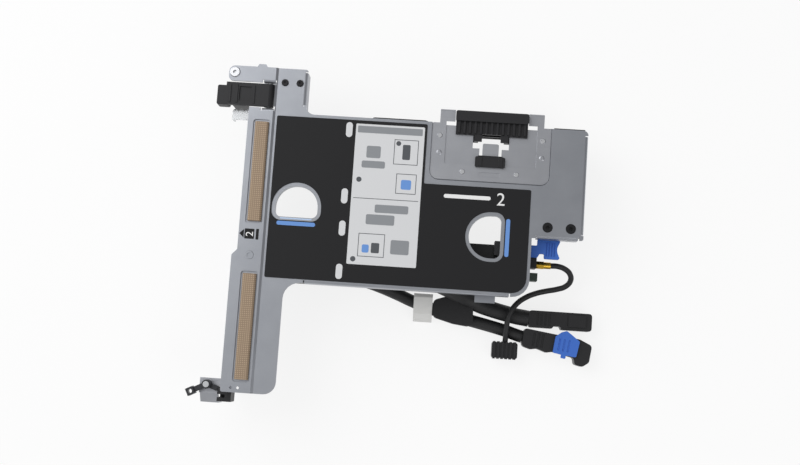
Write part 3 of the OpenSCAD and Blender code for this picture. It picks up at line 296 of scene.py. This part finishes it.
def print_numeral(name, ink, text, at, height, turn_deg=0.0, bottom=LABEL_TOP):
    curve = bpy.data.curves.new(name, "FONT")
    curve.body = text
    curve.size = height * MM / CAP_SHARE
    curve.extrude = INK * MM / 2
    maker = bpy.data.objects.new(name + "_maker", curve)
    bpy.context.scene.collection.objects.link(maker)
    bpy.context.view_layer.update()
    mesh = bpy.data.meshes.new_from_object(maker.evaluated_get(bpy.context.evaluated_depsgraph_get()))
    bpy.data.objects.remove(maker)
    mesh.transform(Matrix.Translation((at[0] * MM, at[1] * MM, (bottom + INK / 2) * MM))
                   @ Matrix.Rotation(math.radians(turn_deg), 4, "Z"))
    mesh.materials.clear()
    mesh.materials.append(INKS[ink])
    stick(name, mesh)


# ---- Prints on the label ----
# Screen-printed fields: a pale instruction field with plain boxes, four pale obrounds, two blue touch bars beside the
# finger holes, and a plain slot number. All are flat ink with rounded corners.
FIELD = (54.0, -3.5, 88.1, 66.3)
print_plates("instruction_field", "pale_grey", [FIELD], 0.6)
print_plates("field_header", "mid_grey", [(FIELD[0] + 1, FIELD[3] - 4.4, FIELD[2] - 1, FIELD[3] - 1)], 0.4,
             LABEL_TOP + INK)
FX, FY = FIELD[0], FIELD[1]


def outline(x0, y0, x1, y1, wide=0.3):
    return [(x0, y0, x1, y0 + wide), (x0, y1 - wide, x1, y1), (x0, y0 + wide, x0 + wide, y1 - wide),
            (x1 - wide, y0 + wide, x1, y1 - wide)]


frames = [(FX + 1, FY + 32.6, FIELD[2] - 1, FY + 32.9)]
for corner in [(FX + 19.5, FY + 50.5, FX + 31.5, FY + 63.0), (FX + 5.0, FY + 4.0, FX + 18.0, FY + 15.5),
               (FX + 21.5, FY + 36.0, FX + 31.5, FY + 46.0)]:
    frames += outline(*corner)
print_plates("field_boxes", "line_grey", frames, 0.0, LABEL_TOP + INK)
print_plates("field_blocks", "mid_grey", [
    (FX + 4.0, FY + 48.0, FX + 15.5, FY + 51.5), (FX + 6.0, FY + 53.0, FX + 13.0, FY + 59.0),
    (FX + 8.0, FY + 20.0, FX + 22.0, FY + 25.0), (FX + 12.0, FY + 26.0, FX + 28.5, FY + 30.0),
    (FX + 21.0, FY + 6.0, FX + 30.0, FY + 13.0)], 0.8, LABEL_TOP + INK)
print_plates("field_dark_blocks", "line_grey", [
    (FX + 23.8, FY + 53.0, FX + 27.6, FY + 60.5), (FX + 11.5, FY + 6.0, FX + 15.5, FY + 11.0)], 0.6,
    LABEL_TOP + INK)
print_plates("field_blue_blocks", "touch_blue", [
    (FX + 24.0, FY + 38.2, FX + 29.0, FY + 43.0), (FX + 7.0, FY + 6.0, FX + 10.4, FY + 10.0)], 0.8, LABEL_TOP + INK)
print_discs("field_dots", "line_grey", [(FX + 3.2, FY + 42.0, 1.3), (FX + 3.0, FY + 2.6, 1.3),
                                        (FX + 21.6, FY + 61.0, 1.2)], LABEL_TOP + INK)
print_plates("row_obrounds", "pale_grey", [(49.1, y - 3.75, 52.3, y + 3.75) for y in (63.0, 29.8, 13.8, -7.5)], 1.55)
print_plates("touch_bar_rear", "touch_blue", [(18.2, 13.5, 37.3, 15.5)], 0.95)
# a thin pale blue line on the plate between the rear finger hole's ring and the rear touch bar: a painted highlight
# along that edge, laid as ink
print_plates("rear_hole_painted_highlight", "pale_blue_painted_highlight", [(19.6, 16.65, 35.4, 17.3)], 0.3, PLATE_TOP)
print_plates("touch_bar_front", "touch_blue", [(130.6, 4.8, 132.6, 23.4)], 0.95)
print_numeral("slot_number_front", "white", "2", (125.2, 29.8), 6.2)
print_plates("number_bar", "white", [(99.4, 32.0, 122.4, 33.9)], 0.9)

# ---- Slot mark on the raised strip ----
# A small printed slot mark between the two gaskets: a black arrow head to the rear, a plain number on a black field,
# and a black strip.
print_plates("slot_field", "black", [(3.0, 5.6, 7.8, 10.6)], 0.3, STRIP_TOP)
print_plates("slot_strip", "black", [(8.6, 5.4, 10.0, 10.7)], 0.3, STRIP_TOP)
arrow = bmesh.new()
made = bmesh.ops.create_circle(arrow, cap_ends=True, segments=3, radius=1.9 * MM)
bmesh.ops.rotate(arrow, verts=made["verts"], matrix=Matrix.Rotation(math.radians(90), 3, "Z"))
bmesh.ops.scale(arrow, verts=made["verts"], vec=(0.8, 1.3, 1))
bmesh.ops.translate(arrow, verts=made["verts"], vec=(1.9 * MM, 8.1 * MM, 0))
finish_print("slot_arrow", arrow, "black", STRIP_TOP)
print_numeral("slot_number_rear", "white", "2", (7.2, 6.7), 3.6, 90.0, STRIP_TOP + INK)

# ---- Moulded plastic: latches, slide, guide and connectors ----
# Glass-filled nylon, injection moulded and matt black: a fine spark-eroded texture of about 0.15 mm, drawn at 0.3 mm
# so that it shows, and softly rounded edges.
def moulded(name, colour, roughness=0.5, grain_mm=0.3, depth=0.12):
    material, tree, shader = start_material(name, colour, roughness)
    shader.inputs["Specular IOR Level"].default_value = 0.4
    place = add_node(tree, "ShaderNodeTexCoord")
    grain = add_node(tree, "ShaderNodeTexNoise", {"Vector": place.outputs["Object"], "Scale": 1 / (grain_mm * MM),
                                                  "Detail": 2.0})
    rough = add_node(tree, "ShaderNodeMapRange", {"Value": grain.outputs[0], "To Min": roughness - 0.08,
                                                  "To Max": roughness + 0.08})
    tree.links.new(rough.outputs[0], shader.inputs["Roughness"])
    relief = add_node(tree, "ShaderNodeBump", {"Height": grain.outputs[0], "Strength": depth, "Distance": 0.0001})
    tree.links.new(relief.outputs[0], shader.inputs["Normal"])
    return material


black_nylon = moulded("moulded_black_nylon", "#1c1c1f")
connector_black = moulded("moulded_connector_housing", "#202022", 0.42)
dress(["upper_latch", "holder_slide", "holder_stop", "card_guide", "tab_block"], black_nylon, 0.15)
dress(["card_slot", "rear_socket", "front_socket", "rear_board_plug", "front_board_plug"], connector_black, 0.12)
dress(["upper_plug", "lower_plug", "ribbed_plug"], connector_black, 0.3)
dress(["side_socket", "side_plug"], black_nylon, 0.15)
dress(["lower_latch"], moulded("dark_coated_lever", "#2c2d31", 0.4), 0.15)
dress(["end_header"], moulded("header_housing", "#34403a", 0.5), 0.1)
dress(["pull_tab", "plug_clip"], moulded("moulded_blue_nylon", "#3e6fcb", 0.45), 0.2)

# ---- Board ----
# Glass-fibre laminate under a green solder mask with a slight orange-peel gloss, and black moulded chips. The board
# stands under the plate.
solder_mask = moulded("green_solder_mask", "#1f4d38", 0.32, 1.2, 0.06)
dress(["riser_board"], solder_mask)
dress(["board_chips"], moulded("moulded_chip", "#1a1a1b", 0.6), 0.05)

# ---- Ferrule, sleeve and tag ----
# A turned brass ferrule on the thin cable, a taped cloth sleeve round the lower cable, and a folded white tag.
brass, tree, shader = start_material("turned_brass", "#c8a23c", 0.28, 1.0)
place = add_node(tree, "ShaderNodeTexCoord")
# turning marks 0.3 mm apart
marks = add_node(tree, "ShaderNodeTexWave", {"Vector": place.outputs["Object"], "Scale": 1 / (0.3 * MM) / 6.28,
                                             "Distortion": 0.4}, bands_direction="X")
relief = add_node(tree, "ShaderNodeBump", {"Height": marks.outputs[1], "Strength": 0.2, "Distance": 0.00005})
tree.links.new(relief.outputs[0], shader.inputs["Normal"])
dress(["side_ferrule"], brass, 0.1)
dress(["cable_sleeve"], moulded("taped_sleeve_cloth", "#242426", 0.68, 0.6, 0.35), 0.4)
dress(["cable_tag"], moulded("folded_white_tag", "#e2e2e0", 0.6, 0.8, 0.1), 0.05)

# ---- Signal cables and the side cable ----
# Two round cables come down from the board and run out flat to their plugs, and a thin one loops from a ferrule at
# the board's front end. Matt black extruded jackets, limp, lying on the table.
jacket_pvc, tree, shader = start_material("extruded_pvc_jacket", "#1b1b1d", 0.55)
place = add_node(tree, "ShaderNodeTexCoord")
# extrusion haze: patches about 4 mm across, and a die texture of 0.3 mm drawn as a faint bump
haze = add_node(tree, "ShaderNodeTexNoise", {"Vector": place.outputs["Object"], "Scale": 1 / (4 * MM), "Detail": 2.0})
spread = add_node(tree, "ShaderNodeMapRange", {"Value": haze.outputs[0], "To Min": 0.46, "To Max": 0.66})
tree.links.new(spread.outputs[0], shader.inputs["Roughness"])
die = add_node(tree, "ShaderNodeTexNoise", {"Vector": place.outputs["Object"], "Scale": 1 / (0.3 * MM), "Detail": 1.0})
bump = add_node(tree, "ShaderNodeBump", {"Height": die.outputs[0], "Strength": 0.15, "Distance": 0.0001})
tree.links.new(bump.outputs[0], shader.inputs["Normal"])

LOWER_WIDE, UPPER_WIDE, SIDE_WIDE = 6.4 * MM, 8.4 * MM, 2.8 * MM
# centre lines in millimetres, from the socket or ferrule to the plug
LOWER_RUN = [(46, -8.6, 14), (51, -8.6, 14), (57, -9, 12.2), (64, -10.4, 9.2), (71, -12.4, 6.2), (79, -15.2, 4.2),
             (87, -18.3, 3.5), (95, -20.9, 3.4), (103, -23, 3.4), (111, -24.8, 3.4), (119, -26.5, 3.4),
             (127, -28.2, 3.4), (135, -30.1, 3.4), (140, -31.6, 3.5), (144, -32.7, 3.7)]
UPPER_RUN = [(90, -8.4, 24), (93.4, -8.4, 24), (97.8, -9.2, 21.8), (102, -10.6, 18.4), (106, -12, 14.9),
             (110, -13.6, 11.4), (114, -15.2, 8.4), (118, -16.8, 6.2), (122, -18.2, 5), (126, -19.3, 4.5),
             (130, -20.3, 4.4), (135, -21.4, 4.4), (140, -22.4, 4.4), (144, -22.9, 4.4), (146.4, -23.2, 4.4)]
SIDE_RUN = [(155.2, 3.6, 15.8), (158.6, 3.6, 15.8), (162.6, 2.6, 14.6), (165.6, 0.2, 12.6), (166.2, -3, 10.4),
            (164, -5.8, 8.8), (160, -7.4, 7.8), (155, -8.6, 7.4), (149.5, -10.2, 8), (144.4, -12.6, 9.2),
            (140, -16, 10.8), (137, -20.4, 11.4), (135.6, -25, 11), (135.2, -29.4, 9.8), (135.2, -33.2, 7.8),
            (135.2, -36.6, 5.4)]


def lay_cable(name, run, diameter):
    curve = bpy.data.curves.new(name, "CURVE")
    curve.dimensions = "3D"
    curve.bevel_depth = diameter / 2
    curve.bevel_resolution = 6
    curve.resolution_u = 6
    curve.use_fill_caps = True
    line = curve.splines.new("BEZIER")
    line.bezier_points.add(len(run) - 1)
    for point, at in zip(line.bezier_points, run):
        point.co = Vector(at) * MM
        point.handle_left_type = point.handle_right_type = "AUTO"
    curve.materials.append(jacket_pvc)
    cable = bpy.data.objects.new(name, curve)
    bpy.context.scene.collection.objects.link(cable)
    length = sum((Vector(b) - Vector(a)).length for a, b in zip(run, run[1:])) * MM
    return cable, length


lower_cable, lower_length = lay_cable("lower_cable", LOWER_RUN, LOWER_WIDE)
upper_cable, upper_length = lay_cable("upper_cable", UPPER_RUN, UPPER_WIDE)
side_lead, side_length = lay_cable("side_lead", SIDE_RUN, SIDE_WIDE)
for cable, node, run, length, size, ends in [
        (lower_cable, "signal_cable_lower", LOWER_RUN, lower_length, LOWER_WIDE,
         ["lower_plug", "plug_clip", "cable_tag", "cable_sleeve"]),
        (upper_cable, "signal_cable_upper", UPPER_RUN, upper_length, UPPER_WIDE, ["upper_plug"]),
        (side_lead, "side_cable", SIDE_RUN, side_length, SIDE_WIDE, ["ribbed_plug"])]:
    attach(cable, "cage")
    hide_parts(node)
